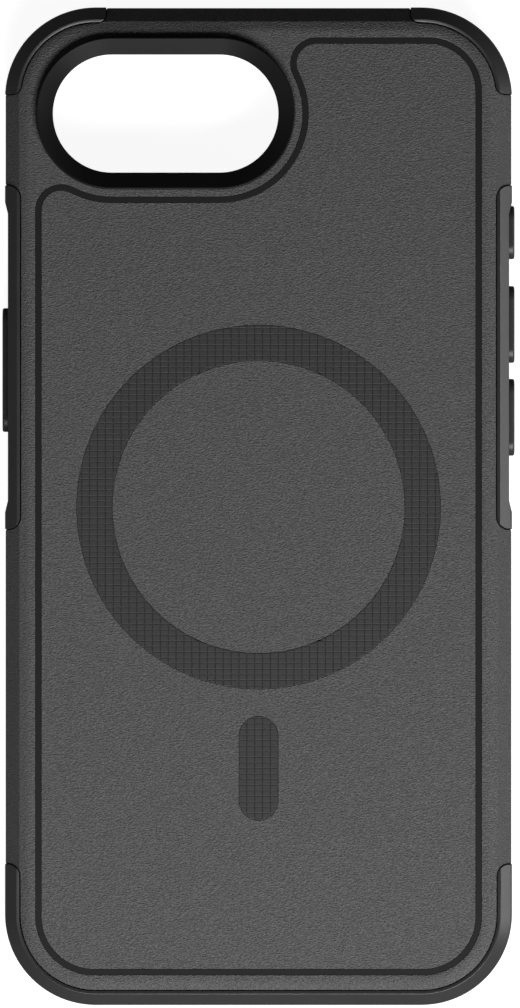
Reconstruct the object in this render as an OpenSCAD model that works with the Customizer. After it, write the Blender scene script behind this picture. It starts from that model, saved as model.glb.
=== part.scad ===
// Two-layer protective case for a flat slab phone: a soft tub inside a hard
// back shell, with four push buttons and a ring of holding magnets.
// The case lies on its front lip. The back faces +Z, the phone's top +Y, and
// the side with the three buttons +X. An inset is measured inwards from the
// shell's outline.

/* [Phone] */
// Width of the phone
phone_w = 71.5; // [64:0.1:86]
// Length of the phone
phone_h = 146.7; // [140:0.1:178]
// Thickness of the phone
phone_t = 7.8; // [7.2:0.1:10]
// Corner radius of the phone
phone_r = 10.8; // [9:0.1:14]
// Clearance round the phone's sides
phone_fit = 0.15; // [0:0.05:0.4]
// Clearance over the phone's back
phone_back_fit = 0.1; // [0:0.05:0.4]

/* [Walls] */
// Wall from the phone's side to the shell's outline
side_wall = 3; // [2.5:0.1:4]
// Thickness of the hard shell's sides
shell_side_t = 1.2; // [0.9:0.05:1.5]
// Thickness of the hard shell's back
shell_back_t = 1.5; // [1.35:0.05:2.5]
// Thickness of the soft tub's back
soft_back_t = 0.9; // [0.7:0.05:2]
// Gap between the soft tub and the hard shell
layer_gap = 0.05; // [0:0.01:0.2]
// Thickness of the front lip
lip_t = 1.2; // [0.8:0.1:2]
// How far the front lip reaches over the phone's screen
lip_reach = 1.6; // [0.8:0.1:3]
// Chamfer round the front lip's outer edge
lip_chamfer = 0.6; // [0.2:0.1:0.9]
// Height of the ledge that the hard shell's rim stands on
ledge_h = 2.5; // [1.5:0.1:2.8]
// Chamfer between the cavity's back and its sides
cavity_chamfer = 0.8; // [0.2:0.1:1]

/* [Shell edge] */
// Width of the sloping facet round the back, in plan
facet_run = 2.1; // [1.8:0.1:3]
// Height of the sloping facet
facet_rise = 2.5; // [2.2:0.1:3.4]
// Width of the soft crease above the facet, in plan
crease_run = 1.3; // [0.2:0.1:1.4]
// Height of the soft crease
crease_rise = 0.5; // [0.1:0.05:0.6]

/* [Bumpers] */
// Gap between a bumper and the edge of its window
window_gap = 0.15; // [0.1:0.05:0.4]
// How far bumpers stand out from the shell's outline
bumper_proud = 0.1; // [0:0.05:0.3]
// How far bumpers stand off the shell's facet
bumper_raise = 0.25; // [0.1:0.05:0.5]
// Chamfer along a bumper's inner edge, in plan
bumper_chamfer = 0.5; // [0.2:0.05:0.6]
// Depth of that chamfer
bumper_chamfer_drop = 0.1; // [0.05:0.05:0.6]
// Inset of the corner windows' inner edge
corner_inset = 2.4; // [1.9:0.05:2.5]
// Reach of a corner window along the top, from the side of the case
corner_across = 15.55; // [15:0.05:20]
// Reach of a corner window down the side, from the top of the case
corner_down = 13.35; // [12:0.05:18]
// Radius at a corner window's ends
corner_end_r = 1.5; // [0.6:0.1:1.8]
// Inset of the base window's inner edge
base_inset = 2.3; // [1.9:0.05:2.5]
// Reach of the base window up the sides, from the bottom of the case
base_up = 21.65; // [18:0.05:28]
// Radius at the base window's ends
base_end_r = 1.9; // [0.6:0.1:2]

/* [Side grips] */
// Inset of the side windows' inner edge
grip_inset = 2.4; // [1.9:0.05:2.5]
// Distance from the phone's top to the top of a side window
grip_down = 24.05; // [20:0.05:25]
// Length of a side window
grip_len = 52.95; // [50:0.05:60]
// Radius at a side window's ends
grip_end_r = 2.1; // [0.6:0.1:2.1]
// Depth of the recess that holds the buttons, from the shell's outline
recess_depth = 0.35; // [0.1:0.05:0.6]
// Distance from a window's end to the start of the recess
recess_start = 2.7; // [1:0.1:2.7]
// Length of the slope down into the recess
recess_slope = 1.8; // [0.6:0.1:1.8]

/* [Buttons] */
// Distance from the phone's top to the middle of the power button
power_down = 52.45; // [50:0.05:60]
// Length of the power button
power_len = 19; // [14:0.1:22]
// Distance from the phone's top to the middle of the action button
action_down = 31.35; // [31:0.05:32]
// Length of the action button
action_len = 8.2; // [6:0.1:8.6]
// Distance from the phone's top to the middle of the volume up button
volume_up_down = 45.45; // [44.5:0.05:46]
// Length of either volume button
volume_len = 11.8; // [9:0.1:12]
// Distance from the phone's top to the middle of the volume down button
volume_down_down = 59.7; // [59:0.05:60.5]
// Height of every button
button_h = 4.2; // [3:0.1:4.8]
// How far a button stands out from the shell's outline
button_proud = 0.52; // [0.4:0.01:1]
// Clearance round a button in its slot
button_fit = 0.15; // [0.1:0.01:0.3]
// Inset of the flexible web behind a button cap
web_inset = 1.15; // [0.9:0.05:1.2]
// Thickness of the flexible web
web_t = 0.5; // [0.3:0.05:0.6]
// Travel of a button
button_travel = 0.45; // [0.2:0.05:0.5]
// Border between the edge of a cap and the press nub behind it
nub_border = 1; // [0.6:0.1:1.3]

/* [Camera] */
// Distance from the phone's side to the middle of the opening's outer end
camera_in = 13.3; // [12:0.05:15]
// Distance from the phone's top to the middle of the opening
camera_down = 13.22; // [12:0.05:15]
// Distance between the middles of the opening's round ends
camera_span = 16.45; // [10:0.05:24]
// Radius of the opening's ends
camera_r = 9.04; // [7:0.01:9.5]
// Outer radius of the bezel's ends
bezel_r = 11.66; // [11:0.01:11.9]
// Height of the bezel above the shell's back
bezel_h = 1.25; // [0.6:0.05:2]
// Width of the bezel's flange over the shell
bezel_flange = 0.35; // [0.2:0.05:0.6]
// Width of the bezel's top rim
bezel_rim = 0.15; // [0.1:0.05:0.5]
// Chamfer outside the bezel's top rim
bezel_chamfer = 0.15; // [0.1:0.05:0.5]
// Height of the bezel's inner edge above the shell's back
bezel_inner_h = -0.25; // [-0.5:0.05:0.2]
// Clearance of the soft tub's opening round the bezel's opening
camera_soft_gap = 0.2; // [0:0.05:0.5]

/* [Contour line] */
// Inset of the line's middle
contour_inset = 5.05; // [4.6:0.05:5.2]
// Width of the line
contour_w = 0.95; // [0.5:0.05:1.2]
// Distance from the bezel's edge to the line's middle
contour_bezel_gap = 1.54; // [1.3:0.01:2.2]
// Radius of the line's bottom corners
contour_bottom_r = 8.5; // [6:0.1:10]
// Radius of the line's top corner
contour_top_r = 7.75; // [6:0.05:9]
// Radius where the line turns round the camera
contour_turn_r = 3.5; // [2:0.1:4]
// Depth of the grooves that hold the inlays
inlay_depth = 0.25; // [0.15:0.05:0.3]
// Thickness of the inlays
inlay_t = 0.2; // [0.1:0.05:0.3]
// Gap round an inlay and between bonded pieces
bond_gap = 0.02; // [0:0.01:0.05]

/* [Magnets] */
// Height of the ring's middle above the middle of the case
ring_y = -0.1; // [-3:0.1:3]
// Inner radius of the ring mark
ring_mark_in = 22.4; // [21:0.1:22.5]
// Outer radius of the ring mark
ring_mark_out = 27.9; // [27.5:0.1:30]
// Inner radius of the magnets
magnet_in = 23; // [22.5:0.1:24]
// Outer radius of the magnets
magnet_out = 27; // [26:0.1:27.5]
// Number of magnets in the ring
magnet_count = 18; // [12:1:24]
// Gap between neighbouring magnets, in degrees
magnet_gap = 0.8; // [0.4:0.1:2]
// Thickness of the magnets
magnet_t = 0.65; // [0.4:0.05:0.7]
// Thickness of the adhesive over the magnets
adhesive_t = 0.1; // [0.05:0.05:0.15]
// Distance from the ring's middle to the bar's middle
bar_drop = 40; // [38.5:0.1:44]
// Width of the bar mark
bar_mark_w = 6.05; // [4:0.05:7]
// Length of the bar mark
bar_mark_len = 16; // [12:0.1:20]
// Border between the bar mark's edge and its magnet
bar_border = 0.75; // [0.5:0.05:1]

/* [Ports] */
// Width of the charging port's opening
port_w = 13; // [10:0.1:16]
// Height of the charging port's opening
port_h = 6; // [4.5:0.1:6]
// Distance from the middle to a sound opening's middle
sound_x = 16; // [15.2:0.1:20]
// Width of a sound opening
sound_w = 12; // [8:0.1:12]
// Height of a sound opening
sound_h = 3; // [2:0.1:4]

/* [Hidden] */
$fn = 96;
EPS = 1;         // how far a cut runs past a face
ARC_STEP = 6;    // angle between neighbouring points of a curved outline

body_w = phone_w + 2 * side_wall;
body_h = phone_h + 2 * side_wall;
body_r = phone_r + side_wall;
centre_x = body_w / 2 - body_r;
centre_y = body_h / 2 - body_r;

cavity_inset = side_wall - phone_fit;
cavity_z = lip_t + phone_t + phone_back_fit;
soft_z = cavity_z + soft_back_t;
shell_in_z = soft_z + layer_gap;
back_z = shell_in_z + shell_back_t;
crease_z = back_z - crease_rise;
facet_z = crease_z - facet_rise;
facet_angle = atan2(facet_rise, facet_run);
middle_z = lip_t + phone_t / 2;

ledge_gap_z = ledge_h + layer_gap;
shell_out = [[0, ledge_gap_z], [0, facet_z], [facet_run, crease_z], [facet_run + crease_run, back_z]];

camera_x = camera_in - phone_w / 2;
camera_y = phone_h / 2 - camera_down;
contour_camera_r = bezel_r + contour_bezel_gap;
contour_x = body_w / 2 - contour_inset;
contour_y = body_h / 2 - contour_inset;
bezel_neck_r = bezel_r - bezel_flange;
bar_y = ring_y - bar_drop;

// Each button: name, side of the case, distance from the phone's top, length
BUTTONS = [
    ["power", -1, power_down, power_len],
    ["action", 1, action_down, action_len],
    ["volume_up", 1, volume_up_down, volume_len],
    ["volume_down", 1, volume_down_down, volume_len]
];

// Height of the facet at an inset, on a line that lies depth below the facet
function facet_height(inset, depth) = facet_z + inset * tan(facet_angle) - depth / cos(facet_angle);

// Inset at which that line reaches a height
function facet_inset(z, depth) = (z - facet_z + depth / cos(facet_angle)) / tan(facet_angle);

// The outline under a layer of the shell's thickness plus a gap, up to a flat top
function under_shell(depth, top) = [
    [depth, ledge_h - EPS], [depth, facet_height(depth, depth)], [facet_inset(top, depth), top]
];

// A bumper's outline, with a chamfer that ends beside a window edge
function bumper_outline(inset) =
    let (edge = inset - window_gap, crest = edge - bumper_chamfer)
    [
        [lip_chamfer - bumper_proud, 0], [-bumper_proud, lip_chamfer],
        [-bumper_proud, facet_height(-bumper_proud, -bumper_raise)],
        [crest, facet_height(crest, -bumper_raise)],
        [edge, facet_height(crest, -bumper_raise) - bumper_chamfer_drop]
    ];

// A solid with the case's rounded plan, whose edge follows points of inset and height
module loaf(points) {
    low = points[0][1];
    high = points[len(points) - 1][1];
    section = concat([[0, low]], [for (p = points) [body_r - p[0], p[1]]], [[0, high]]);
    for (turn = [0, 180]) rotate([0, 0, turn]) {
        translate([centre_x, centre_y, 0]) rotate_extrude(angle = 90) polygon(section);
        translate([centre_x, -centre_y, 0]) rotate([0, 0, -90]) rotate_extrude(angle = 90) polygon(section);
        translate([centre_x, centre_y, 0]) rotate([90, 0, 0]) linear_extrude(2 * centre_y) polygon(section);
        translate([-centre_x, centre_y, 0]) rotate([90, 0, 90]) linear_extrude(2 * centre_x) polygon(section);
    }
    translate([-centre_x, -centre_y, low]) cube([2 * centre_x, 2 * centre_y, high - low]);
}

// A rounded rectangle, in plan, with the case's shape at an inset
module plan(inset) {
    w = body_w - 2 * inset;
    h = body_h - 2 * inset;
    r = body_r - inset;
    square([w - 2 * r, h], center = true);
    square([w, h - 2 * r], center = true);
    for (x = [-1, 1], y = [-1, 1]) translate([x * centre_x, y * centre_y]) circle(r);
}

// A slot with round ends, in plan, between two middles
module slot(span, r) {
    translate([0, -r]) square([span, 2 * r]);
    for (x = [0, span]) translate([x, 0]) circle(r);
}

// A slot with round ends, in plan, centred on the origin
module centred_slot(length, width) {
    translate([(width - length) / 2, 0]) slot(length - width, width / 2);
}

// The tip that is cut off to round the end of a corner window
module corner_tip(inner_r, end, r) {
    y = end + r;
    x = sqrt(pow(inner_r + r, 2) - pow(max(0, y), 2));
    difference() {
        polygon([[x, y], [x, end - EPS], [0, end - EPS], [0, min(0, y)]]);
        translate([x, y]) circle(r);
    }
}

// The window for a corner bumper, in plan, from the middle of the corner's arc
module corner_window(gap) {
    inner_r = body_r - corner_inset + gap;
    end_x = body_r - corner_across + gap;
    end_y = body_r - corner_down + gap;
    far = body_r + EPS;
    difference() {
        translate([end_x, end_y]) square([far - end_x, far - end_y]);
        circle(inner_r);
        translate([-far, -far]) square([far, far + inner_r]);
        translate([-far, -far]) square([far + inner_r, far]);
        corner_tip(inner_r, end_y, corner_end_r - gap);
        mirror([1, -1, 0]) corner_tip(inner_r, end_x, corner_end_r - gap);
    }
}

module corner_windows(gap) {
    for (side = [0, 1]) mirror([side, 0, 0]) translate([centre_x, centre_y]) corner_window(gap);
}

// The two side windows, in plan
module grip_windows(gap) {
    r = grip_end_r - gap;
    depth = grip_inset - gap + EPS;
    top = phone_h / 2 - grip_down - gap;
    length = grip_len - 2 * gap;
    for (side = [0, 1]) mirror([side, 0, 0]) translate([body_w / 2 + EPS - depth, top - length]) {
        translate([r, 0]) square([depth - r, length]);
        translate([0, r]) square([depth, length - 2 * r]);
        for (y = [r, length - r]) translate([r, y]) circle(r);
    }
}

// The window for the base bumper, in plan
module base_window(gap) {
    inset = base_inset - gap;
    r = base_end_r - gap;
    top = base_up - gap - body_h / 2;
    difference() {
        translate([-body_w / 2 - EPS, -body_h / 2 - EPS])
            square([body_w + 2 * EPS, top + body_h / 2 + EPS]);
        plan(inset);
        for (side = [0, 1]) mirror([side, 0, 0]) difference() {
            translate([body_w / 2 - inset - EPS, top - r]) square([r + EPS, r + EPS]);
            translate([body_w / 2 - inset + r, top - r]) circle(r);
        }
    }
}

// A bumper: the bumper outline's solid where a window leaves room for it
module bumper(inset) {
    intersection() {
        loaf(bumper_outline(inset));
        linear_extrude(back_z) children();
    }
}

// The recess along the side grips, open outwards
module grip_recesses() {
    top = phone_h / 2 - grip_down - recess_start;
    bottom = phone_h / 2 - grip_down - grip_len + recess_start;
    slope_end = recess_slope * (recess_depth + bumper_proud + EPS) / (recess_depth + bumper_proud);
    for (side = [0, 1]) mirror([side, 0, 0]) translate([body_w / 2 - recess_depth, 0, -EPS])
        linear_extrude(back_z + EPS) polygon([
            [0, top - recess_slope], [0, bottom + recess_slope],
            [recess_depth + bumper_proud + EPS, bottom + recess_slope - slope_end],
            [recess_depth + bumper_proud + EPS, top - recess_slope + slope_end]
        ]);
}

// A solid of a button's shape grown by a border, between two insets
module button_solid(button, border, from, to) {
    translate([button[1] * body_w / 2, phone_h / 2 - button[2], middle_z])
        rotate([90, 0, 90 * button[1]])
            translate([0, 0, -to]) linear_extrude(to - from)
                centred_slot(button[3] + 2 * border, button_h + 2 * border);
}

// A hole through the bottom wall
module bottom_hole(x, w, h) {
    translate([x, -body_h / 2 - EPS, middle_z]) rotate([90, 0, 180])
        linear_extrude(side_wall + EPS) centred_slot(w, h);
}

// The camera opening's shape, in plan
module camera_slot(r) {
    translate([camera_x, camera_y]) slot(camera_span, r);
}

// A ring round the camera opening, with a section of radius and height
module camera_ring(section) {
    translate([camera_x, camera_y, 0]) {
        rotate([0, 0, 90]) rotate_extrude(angle = 180) polygon(section);
        translate([camera_span, 0, 0]) rotate([0, 0, -90]) rotate_extrude(angle = 180) polygon(section);
        rotate([90, 0, 90]) linear_extrude(camera_span) polygon(section);
        translate([camera_span, 0, 0]) rotate([90, 0, -90]) linear_extrude(camera_span) polygon(section);
    }
}

// Points along an arc, from one angle to another
function arc(centre, r, from, to) =
    let (steps = max(1, ceil(abs(to - from) / ARC_STEP)))
    [for (i = [0 : steps]) let (angle = from + (to - from) * i / steps)
        centre + r * [cos(angle), sin(angle)]];

// The area inside the contour line, in plan, grown by an amount
module contour_area(grow) {
    bottom = [contour_x - contour_bottom_r, contour_bottom_r - contour_y];
    corner = [contour_x - contour_top_r, contour_y - contour_top_r];
    camera_far = [camera_x + camera_span, camera_y];
    camera_near = [camera_x, camera_y];
    reach = contour_camera_r + contour_turn_r;
    turn_y = contour_y - contour_turn_r;
    turn_x = contour_turn_r - contour_x;
    top_turn = [camera_far[0] + sqrt(pow(reach, 2) - pow(turn_y - camera_y, 2)), turn_y];
    left_turn = [turn_x, camera_y - sqrt(pow(reach, 2) - pow(turn_x - camera_x, 2))];
    top_angle = atan2(top_turn[1] - camera_y, top_turn[0] - camera_far[0]);
    left_angle = atan2(left_turn[1] - camera_y, left_turn[0] - camera_x);
    polygon(concat(
        arc(bottom, contour_bottom_r + grow, -90, 0),
        arc(corner, contour_top_r + grow, 0, 90),
        arc(top_turn, contour_turn_r + grow, 90, 180 + top_angle),
        arc(camera_far, contour_camera_r - grow, top_angle, -90),
        arc(camera_near, contour_camera_r - grow, -90, left_angle),
        arc(left_turn, contour_turn_r + grow, 180 + left_angle, 180),
        arc([-bottom[0], bottom[1]], contour_bottom_r + grow, 180, 270)
    ));
}

// The band that the contour line covers, in plan
module contour_band(gap) {
    difference() {
        contour_area(contour_w / 2 - gap);
        contour_area(gap - contour_w / 2);
    }
}

module ring_area(inner, outer) {
    translate([0, ring_y]) difference() {
        circle(outer);
        circle(inner);
    }
}

module bar_area(border) {
    translate([0, bar_y]) rotate([0, 0, 90])
        centred_slot(bar_mark_len - 2 * border, bar_mark_w - 2 * border);
}

// Soft tub: lip, walls, back and the bumpers and grips that fill the windows
module soft_inner() color([0.07, 0.07, 0.075]) difference() {
    union() {
        loaf([[lip_chamfer, 0], [0, lip_chamfer], [0, ledge_h], [shell_side_t + layer_gap, ledge_h],
            each [for (i = [1, 2]) under_shell(shell_side_t + layer_gap, soft_z)[i]]]);
        bumper(corner_inset) corner_windows(window_gap);
        bumper(grip_inset) grip_windows(window_gap);
        bumper(base_inset) base_window(window_gap);
    }
    loaf([[cavity_inset, lip_t], [cavity_inset, cavity_z - cavity_chamfer],
        [cavity_inset + cavity_chamfer, cavity_z]]);
    translate([0, 0, -EPS]) linear_extrude(lip_t + 2 * EPS) plan(cavity_inset + lip_reach);
    translate([0, 0, cavity_z - EPS]) linear_extrude(soft_back_t + 2 * EPS)
        camera_slot(camera_r + camera_soft_gap);
    grip_recesses();
    for (button = BUTTONS) button_solid(button, button_fit, -EPS, side_wall);
    bottom_hole(0, port_w, port_h);
    for (x = [-sound_x, sound_x]) bottom_hole(x, sound_w, sound_h);
}

// Hard shell: back, facet and sides, open in front, with windows for the bumpers
module hard_shell() color([0.3, 0.3, 0.31]) difference() {
    loaf(shell_out);
    loaf(under_shell(shell_side_t, shell_in_z));
    linear_extrude(back_z + EPS) {
        corner_windows(0);
        grip_windows(0);
        base_window(0);
    }
    translate([0, 0, shell_in_z - EPS]) linear_extrude(shell_back_t + 2 * EPS)
        camera_slot(bezel_neck_r + layer_gap);
    translate([0, 0, back_z - inlay_depth]) linear_extrude(inlay_depth + EPS) {
        contour_band(0);
        ring_area(ring_mark_in, ring_mark_out);
        bar_area(0);
    }
    translate([0, 0, shell_in_z - EPS]) linear_extrude(magnet_t + adhesive_t + EPS) {
        ring_area(magnet_in - layer_gap, magnet_out + layer_gap);
        bar_area(bar_border - layer_gap);
    }
}

// Raised bezel round the camera opening, sloping down into it
module camera_bezel() color([0.1, 0.1, 0.1]) {
    top = back_z + bezel_h;
    camera_ring([
        [camera_r, soft_z + bond_gap], [bezel_neck_r, soft_z + bond_gap], [bezel_neck_r, back_z + bond_gap],
        [bezel_r, back_z + bond_gap], [bezel_r, top - bezel_chamfer], [bezel_r - bezel_chamfer, top],
        [bezel_r - bezel_chamfer - bezel_rim, top], [camera_r, back_z + bezel_inner_h]
    ]);
}

module contour_inlay() color([0.15, 0.15, 0.155])
    translate([0, 0, back_z - inlay_depth]) linear_extrude(inlay_t) contour_band(bond_gap);

module ring_mark() color([0.22, 0.22, 0.225])
    translate([0, 0, back_z - inlay_depth]) linear_extrude(inlay_t)
        ring_area(ring_mark_in + bond_gap, ring_mark_out - bond_gap);

module bar_mark() color([0.22, 0.22, 0.225])
    translate([0, 0, back_z - inlay_depth]) linear_extrude(inlay_t) bar_area(bond_gap);

module ring_adhesive() color([0.85, 0.8, 0.6])
    translate([0, 0, shell_in_z + magnet_t]) linear_extrude(adhesive_t) ring_area(magnet_in, magnet_out);

module ring_magnets() color([0.75, 0.76, 0.78])
    for (i = [0 : magnet_count - 1])
        translate([0, ring_y, shell_in_z]) rotate([0, 0, 360 / magnet_count * i])
            rotate_extrude(angle = 360 / magnet_count - magnet_gap)
                translate([magnet_in, 0]) square([magnet_out - magnet_in, magnet_t]);

module bar_adhesive() color([0.85, 0.8, 0.6])
    translate([0, 0, shell_in_z + magnet_t]) linear_extrude(adhesive_t) bar_area(bar_border);

module bar_magnet() color([0.75, 0.76, 0.78])
    translate([0, 0, shell_in_z]) linear_extrude(magnet_t) bar_area(bar_border);

module button_cap(button) color([0.12, 0.12, 0.125])
    button_solid(button, 0, -button_proud, web_inset - bond_gap);

module button_web(button) color([0.07, 0.07, 0.075])
    button_solid(button, button_fit - bond_gap, web_inset, web_inset + web_t);

module button_nub(button) color([0.07, 0.07, 0.075])
    button_solid(button, -nub_border, web_inset + web_t + bond_gap, cavity_inset - button_travel);

soft_inner();
hard_shell();
camera_bezel();
contour_inlay();
ring_mark();
bar_mark();
ring_adhesive();
ring_magnets();
bar_adhesive();
bar_magnet();
for (button = BUTTONS) {
    button_cap(button);
    button_web(button);
    button_nub(button);
}
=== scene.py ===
"""Looks of a two-layer phone case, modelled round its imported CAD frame, one operator for each piece."""

import math

import bmesh
import bpy
from bpy.props import FloatProperty, FloatVectorProperty, PointerProperty
from mathutils import Matrix, Vector


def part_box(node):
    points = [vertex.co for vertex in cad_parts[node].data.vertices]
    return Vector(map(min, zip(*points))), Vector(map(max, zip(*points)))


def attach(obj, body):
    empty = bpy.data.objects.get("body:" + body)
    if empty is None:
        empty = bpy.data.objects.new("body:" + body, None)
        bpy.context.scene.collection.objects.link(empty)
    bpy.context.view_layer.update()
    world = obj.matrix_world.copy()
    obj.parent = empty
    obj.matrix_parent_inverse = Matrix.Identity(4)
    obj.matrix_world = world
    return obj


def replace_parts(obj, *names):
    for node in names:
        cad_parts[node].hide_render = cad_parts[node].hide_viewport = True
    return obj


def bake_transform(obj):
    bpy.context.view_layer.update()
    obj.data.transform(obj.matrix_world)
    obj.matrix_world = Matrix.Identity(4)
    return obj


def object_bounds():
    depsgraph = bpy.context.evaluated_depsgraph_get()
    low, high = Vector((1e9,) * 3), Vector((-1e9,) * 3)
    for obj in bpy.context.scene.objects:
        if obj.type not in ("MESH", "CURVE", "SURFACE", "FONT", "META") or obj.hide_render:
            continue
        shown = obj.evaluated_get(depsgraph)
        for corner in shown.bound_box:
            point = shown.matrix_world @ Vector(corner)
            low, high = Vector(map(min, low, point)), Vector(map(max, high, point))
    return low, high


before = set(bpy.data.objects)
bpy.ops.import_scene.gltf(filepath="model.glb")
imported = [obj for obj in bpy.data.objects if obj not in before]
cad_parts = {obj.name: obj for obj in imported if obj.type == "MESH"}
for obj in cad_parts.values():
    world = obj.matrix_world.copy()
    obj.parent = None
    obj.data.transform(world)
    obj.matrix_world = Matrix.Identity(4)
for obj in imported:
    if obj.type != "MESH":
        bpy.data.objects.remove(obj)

bl_info = {
    "name": "Two-layer phone case",
    "version": (1, 0, 0),
    "blender": (4, 5, 0),
    "location": "3D View > Sidebar > Phone Case",
    "description": "Models the shell, soft tub, bezel, inlays and buttons of a phone case",
    "category": "Object",
}

CAD_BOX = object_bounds()
MM = 0.001
SHELL_LOW, SHELL_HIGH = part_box("hard_shell")
BEZEL_LOW, BEZEL_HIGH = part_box("camera_bezel")
LINE_LOW, LINE_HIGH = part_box("contour_inlay")
RING_LOW, RING_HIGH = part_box("ring_mark")
BAR_LOW, BAR_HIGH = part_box("bar_mark")
BUTTONS = ("power", "action", "volume_up", "volume_down")
HALF_X = SHELL_HIGH.x
HALF_Y = SHELL_HIGH.y
BACK_Z = SHELL_HIGH.z
# How far a cutting solid runs past what it cuts, and the least gap between two surfaces.
PAST = 1.0 * MM
HAIR = 0.02 * MM
# Distances at which points are welded: in finished pieces, in outlines and after booleans.
WELD_FINE, WELD, WELD_CUT = 0.5e-6, 1e-6, 2e-6
# Steps in a quarter turn of a large arc and of a small one, and the radius that parts them.
ARC_STEPS = 24
SMALL_STEPS = 10
SMALL_ARC = 4.0 * MM
# Turn, in radians, that counts as straight, and the share of a side that a rounding may take.
STRAIGHT = 0.01
SIDE_SHARE = 0.49
# Share of its radius at which the end of a button's section is closed by a flat face.
CAP_CORE = 0.2
# Share of a cell that a tile must fill to get lines round it, and how upright its normal has to be.
TILE_SHARE = 0.3
UPRIGHT = 0.9
# Face attribute that marks the lines of the grid.
LINE_LAYER = "line"
# Heights of the shell's grain and of the faint mottle on smooth plastic, for bump.
GRAIN_DEPTH = 0.27 * MM
MOTTLE_DEPTH = 0.01 * MM
# Each light's name, place and size in metres, and the stage setting that gives its power.
LIGHTS = (
    ("front_light", (0.1, -0.33, 0.4), (0.4, 0.28), "front_power"),
    ("side_light", (1.0, -0.1, 0.04), (0.35, 0.07), "side_power"),
    ("left_light", (-0.8, -0.15, 0.4), (0.6, 0.6), "left_power"),
    ("back_light", (-0.5, 1.0, 0.12), (0.8, 0.2), "back_power"),
)


def length(name, description, default_mm):
    """A size in metres with its default given in millimetres."""
    return FloatProperty(name=name, description=description, default=default_mm * MM, min=0.0,
                         unit="LENGTH", precision=5)


def colour(name, description, default):
    """A surface colour."""
    return FloatVectorProperty(name=name, description=description, default=default, size=3,
                               min=0.0, max=1.0, subtype="COLOR")


class CaseSizes(bpy.types.PropertyGroup):
    """Sizes of the shell and the tub that the frame's boxes do not give."""

    corner_radius: length("Corner radius", "Radius of the outline's corners", 13.8)
    recess_width: length("Magnet recess", "Width of the ring recess in from the magnets' edge", 4.05)
    shell_side: length("Shell side", "Thickness of the hard shell's sides", 1.2)
    shell_back: length("Shell back", "Thickness of the hard shell's back", 1.5)
    layer_gap: length("Layer gap", "Gap between the tub and the shell", 0.05)
    facet_run: length("Facet width", "Width of the sloping facet, in plan", 2.1)
    facet_rise: length("Facet height", "Height of the sloping facet", 2.5)
    crease_run: length("Crease width", "Width of the crease above the facet", 1.3)
    crease_rise: length("Crease height", "Height of the crease above the facet", 0.5)
    rim_round: length("Rim round", "Radius of the shell's lower edge outside", 0.3)
    rim_inner_round: length("Rim inner round", "Radius of the shell's lower edge inside", 0.15)
    inside_round: length("Inside round", "Radius of the bends inside the shell and the cavity", 0.3)
    facet_round: length("Facet round", "Radius where the facet meets the side", 1.1)
    crease_round: length("Crease round", "Radius where the facet meets the crease", 0.5)
    back_round: length("Back round", "Radius where the crease meets the back", 2.6)
    edge_round: length("Edge round", "Width of the rounding on moulded edges", 0.09)
    lip_reach: length("Lip reach", "How far the front lip reaches inwards from the cavity", 1.6)
    lip_height: length("Lip height", "Thickness of the front lip", 1.2)
    lip_soft: length("Lip soft edge", "Radius of the front lip's inner edges", 0.4)
    lip_round: length("Lip round", "Radius of the front lip's outer edge", 0.9)
    ledge_height: length("Ledge height", "Height of the ledge under the shell's rim", 2.5)
    ledge_round: length("Ledge round", "Radius of the tub's edges at and above the ledge", 0.2)
    cavity_inset: length("Cavity inset", "Distance from the outline to the phone's cavity", 2.85)
    cavity_chamfer: length("Cavity chamfer", "Chamfer between the cavity's sides and back", 0.8)
    tub_back: length("Tub back", "Thickness of the tub's back", 0.9)


class BumperSizes(bpy.types.PropertyGroup):
    """Sizes of the windows in the shell and of the bumpers in them."""

    gap: length("Window gap", "Gap between a bumper and its window", 0.15)
    proud: length("Proud", "How far bumpers stand out from the outline", 0.1)
    lift: length("Lift", "How far bumpers stand off the facet", 0.25)
    strip: length("Edge strip", "Width of the flat strip along a bumper's inner edge", 0.5)
    strip_drop: length("Strip drop", "How far that strip falls inwards", 0.1)
    crest_round: length("Crest round", "Radius where a bumper's facet meets its strip", 0.15)
    edge: length("Bumper edge", "Width of the rounding round a bumper", 0.06)
    corner_inset: length("Corner inset", "Inset of the corner windows", 2.4)
    corner_across: length("Corner across", "Reach of a corner window along the top", 15.55)
    corner_down: length("Corner down", "Reach of a corner window down the side", 13.35)
    corner_end: length("Corner end", "Radius at a corner window's ends", 1.5)
    base_inset: length("Base inset", "Inset of the base window", 2.3)
    base_up: length("Base up", "Reach of the base window up the sides", 21.65)
    base_end: length("Base end", "Radius at the base window's ends", 1.9)
    grip_inset: length("Grip inset", "Inset of the side windows", 2.4)
    grip_down: length("Grip down", "Distance from the case's top to a side window", 27.05)
    grip_length: length("Grip length", "Length of a side window", 52.95)
    grip_end: length("Grip end", "Radius at a side window's ends", 2.1)
    recess_depth: length("Recess depth", "Depth of the recess that holds the buttons", 0.35)
    recess_start: length("Recess start", "Distance from a window's end to the recess", 2.7)
    recess_slope: length("Recess slope", "Length of the slope into the recess", 1.8)


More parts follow.
